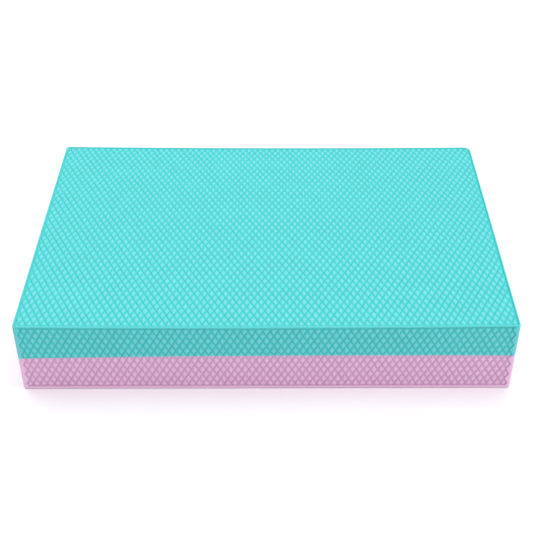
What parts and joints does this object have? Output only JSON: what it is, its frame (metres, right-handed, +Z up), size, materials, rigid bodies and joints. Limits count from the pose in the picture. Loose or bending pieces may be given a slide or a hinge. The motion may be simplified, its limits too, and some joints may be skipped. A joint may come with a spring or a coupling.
{
  "type": "balance pad",
  "caption": "Rectangular closed-cell foam balance pad: a turquoise foam layer bonded on a pink one, embossed with a diamond grip pattern on every face.",
  "frame": {"origin": "centre of the bottom face, which rests on the floor", "axes": "+X along the long side, +Y along the short side towards the back, +Z up out of the face that is stood on"},
  "size_m": [0.345, 0.23, 0.06],
  "materials": {
    "upper_foam": "satin",
    "lower_foam": "satin",
    "adhesive": "satin"
  },
  "bodies": {
    "root": {"upper_foam_layer": "upper_foam", "lower_foam_layer": "lower_foam", "bond_film": "adhesive"}
  },
  "joints": []
}
